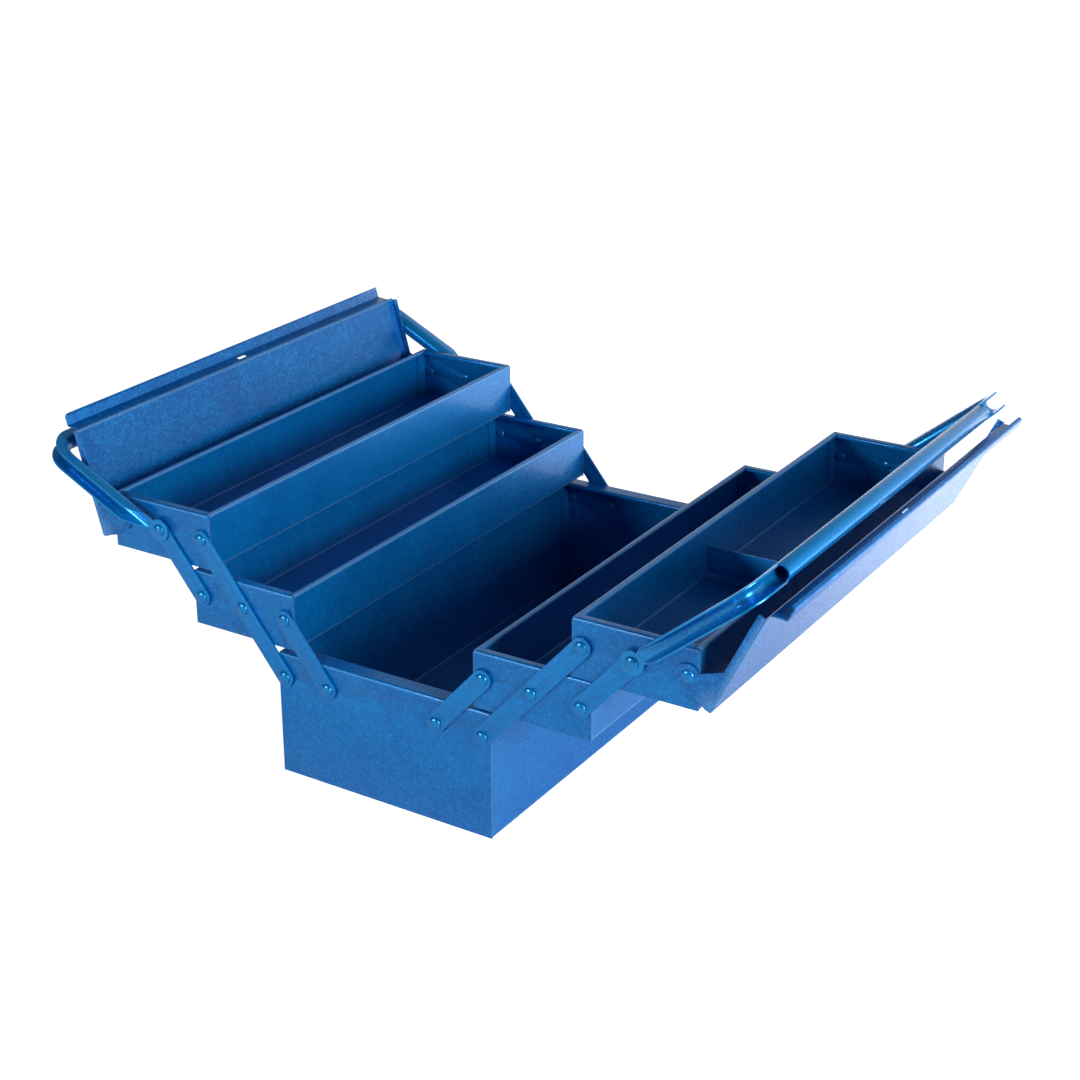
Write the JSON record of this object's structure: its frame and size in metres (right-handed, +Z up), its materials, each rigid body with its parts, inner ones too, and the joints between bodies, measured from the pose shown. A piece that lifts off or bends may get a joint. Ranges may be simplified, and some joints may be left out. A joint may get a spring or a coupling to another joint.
{
  "type": "cantilever toolbox",
  "caption": "Steel toolbox whose tiered trays fan out on riveted links, with hinged lids and folding tubular handles, shown fully open.",
  "frame": {"origin": "centre of the base box underside, on the floor", "axes": "+X across the box, towards the side with the divided upper tray; +Y along the box, front end at -Y; +Z up"},
  "size_m": [0.6653, 0.4776, 0.2663],
  "materials": {
    "panel_enamel": "blue hammered enamel on folded sheet steel",
    "lid_enamel": "blue hammered enamel on folded sheet steel",
    "link_enamel": "blue hammered enamel on flat steel bar",
    "handle_enamel": "glossy light blue enamel on steel tube",
    "rivet_enamel": "blue enamel over domed steel rivets"
  },
  "bodies": {
    "base": {"base_body": "panel_enamel", "base_front_end": "panel_enamel", "base_rear_end": "panel_enamel", "left_front_base_outer_rivet": "rivet_enamel", "left_front_base_inner_rivet": "rivet_enamel", "left_rear_base_outer_rivet": "rivet_enamel", "left_rear_base_inner_rivet": "rivet_enamel", "right_front_base_outer_rivet": "rivet_enamel", "right_front_base_inner_rivet": "rivet_enamel", "right_rear_base_outer_rivet": "rivet_enamel", "right_rear_base_inner_rivet": "rivet_enamel"},
    "left_long_links": {"left_front_long_link": "link_enamel", "left_rear_long_link": "link_enamel"},
    "left_inner_links": {"left_front_inner_link": "link_enamel", "left_rear_inner_link": "link_enamel"},
    "left_outer_links": {"left_front_outer_link": "link_enamel", "left_rear_outer_link": "link_enamel"},
    "left_lower_tray": {"left_lower_tray_body": "panel_enamel", "left_lower_tray_front_end": "panel_enamel", "left_lower_tray_rear_end": "panel_enamel", "left_front_lower_inner_rivet": "rivet_enamel", "left_front_lower_middle_rivet": "rivet_enamel", "left_front_lower_outer_rivet": "rivet_enamel", "left_rear_lower_inner_rivet": "rivet_enamel", "left_rear_lower_middle_rivet": "rivet_enamel", "left_rear_lower_outer_rivet": "rivet_enamel"},
    "left_upper_tray": {"left_upper_tray_body": "panel_enamel", "left_upper_tray_front_end": "panel_enamel", "left_upper_tray_rear_end": "panel_enamel", "left_front_upper_inner_rivet": "rivet_enamel", "left_front_upper_middle_rivet": "rivet_enamel", "left_rear_upper_inner_rivet": "rivet_enamel", "left_rear_upper_middle_rivet": "rivet_enamel"},
    "left_lid": {"left_lid": "lid_enamel"},
    "left_handle": {"left_handle": "handle_enamel"},
    "right_long_links": {"right_front_long_link": "link_enamel", "right_rear_long_link": "link_enamel"},
    "right_inner_links": {"right_front_inner_link": "link_enamel", "right_rear_inner_link": "link_enamel"},
    "right_outer_links": {"right_front_outer_link": "link_enamel", "right_rear_outer_link": "link_enamel"},
    "right_lower_tray": {"right_lower_tray_body": "panel_enamel", "right_lower_tray_front_end": "panel_enamel", "right_lower_tray_rear_end": "panel_enamel", "right_front_lower_inner_rivet": "rivet_enamel", "right_front_lower_middle_rivet": "rivet_enamel", "right_front_lower_outer_rivet": "rivet_enamel", "right_rear_lower_inner_rivet": "rivet_enamel", "right_rear_lower_middle_rivet": "rivet_enamel", "right_rear_lower_outer_rivet": "rivet_enamel"},
    "right_upper_tray": {"right_upper_tray_body": "panel_enamel", "right_upper_tray_front_end": "panel_enamel", "right_upper_tray_rear_end": "panel_enamel", "right_front_upper_inner_rivet": "rivet_enamel", "right_front_upper_middle_rivet": "rivet_enamel", "right_rear_upper_inner_rivet": "rivet_enamel", "right_rear_upper_middle_rivet": "rivet_enamel", "right_upper_tray_divider": "panel_enamel"},
    "right_lid": {"right_lid": "lid_enamel"},
    "right_handle": {"right_handle": "handle_enamel"}
  },
  "joints": [
    {"name": "left_trays_swing", "type": "hinge", "parent": "base", "child": "left_long_links", "pos_m": [-0.0931, 0, 0.086], "axis": [0, 1, 0], "range_deg": [0, 79.4]},
    {"name": "left_lower_tray_level", "type": "hinge", "parent": "left_long_links", "child": "left_lower_tray", "pos_m": [-0.13294, 0, 0.1361], "axis": [0, -1, 0], "range_deg": [0, 79.4]},
    {"name": "left_upper_tray_level", "type": "hinge", "parent": "left_long_links", "child": "left_upper_tray", "pos_m": [-0.17277, 0, 0.1862], "axis": [0, -1, 0], "range_deg": [0, 79.4]},
    {"name": "left_inner_links_swing", "type": "hinge", "parent": "base", "child": "left_inner_links", "pos_m": [-0.0511, 0, 0.086], "axis": [0, 1, 0], "range_deg": [0, 79.4]},
    {"name": "left_outer_links_swing", "type": "hinge", "parent": "left_lower_tray", "child": "left_outer_links", "pos_m": [-0.17494, 0, 0.1361], "axis": [0, 1, 0], "range_deg": [0, 79.4]},
    {"name": "left_handle_swing", "type": "hinge", "parent": "left_upper_tray", "child": "left_handle", "pos_m": [-0.21477, 0, 0.1862], "axis": [0, 1, 0], "range_deg": [0, 84.6]},
    {"name": "left_lid_hinge", "type": "hinge", "parent": "left_upper_tray", "child": "left_lid", "pos_m": [-0.25677, 0, 0.1862], "axis": [0, 1, 0], "range_deg": [0, 105.6]},
    {"name": "right_trays_swing", "type": "hinge", "parent": "base", "child": "right_long_links", "pos_m": [0.0931, 0, 0.086], "axis": [0, -1, 0], "range_deg": [0, 82.4]},
    {"name": "right_lower_tray_level", "type": "hinge", "parent": "right_long_links", "child": "right_lower_tray", "pos_m": [0.1355, 0, 0.13395], "axis": [0, 1, 0], "range_deg": [0, 82.4]},
    {"name": "right_upper_tray_level", "type": "hinge", "parent": "right_long_links", "child": "right_upper_tray", "pos_m": [0.1779, 0, 0.1819], "axis": [0, 1, 0], "range_deg": [0, 82.4]},
    {"name": "right_inner_links_swing", "type": "hinge", "parent": "base", "child": "right_inner_links", "pos_m": [0.0511, 0, 0.086], "axis": [0, -1, 0], "range_deg": [0, 82.4]},
    {"name": "right_outer_links_swing", "type": "hinge", "parent": "right_lower_tray", "child": "right_outer_links", "pos_m": [0.1775, 0, 0.13395], "axis": [0, -1, 0], "range_deg": [0, 82.4]},
    {"name": "right_handle_swing", "type": "hinge", "parent": "right_upper_tray", "child": "right_handle", "pos_m": [0.2199, 0, 0.1819], "axis": [0, -1, 0], "range_deg": [0, 71.5]},
    {"name": "right_lid_hinge", "type": "hinge", "parent": "right_upper_tray", "child": "right_lid", "pos_m": [0.2619, 0, 0.1819], "axis": [0, -1, 0], "range_deg": [0, 115.7]}
  ],
  "couplings": [
    {"joint": "left_lower_tray_level", "follows": "left_trays_swing", "ratio": 1},
    {"joint": "left_upper_tray_level", "follows": "left_trays_swing", "ratio": 1},
    {"joint": "left_inner_links_swing", "follows": "left_trays_swing", "ratio": 1},
    {"joint": "left_outer_links_swing", "follows": "left_trays_swing", "ratio": 1},
    {"joint": "left_lid_hinge", "follows": "left_handle_swing", "ratio": 1.2482},
    {"joint": "right_lower_tray_level", "follows": "right_trays_swing", "ratio": 1},
    {"joint": "right_upper_tray_level", "follows": "right_trays_swing", "ratio": 1},
    {"joint": "right_inner_links_swing", "follows": "right_trays_swing", "ratio": 1},
    {"joint": "right_outer_links_swing", "follows": "right_trays_swing", "ratio": 1},
    {"joint": "right_lid_hinge", "follows": "right_handle_swing", "ratio": 1.6181}
  ]
}
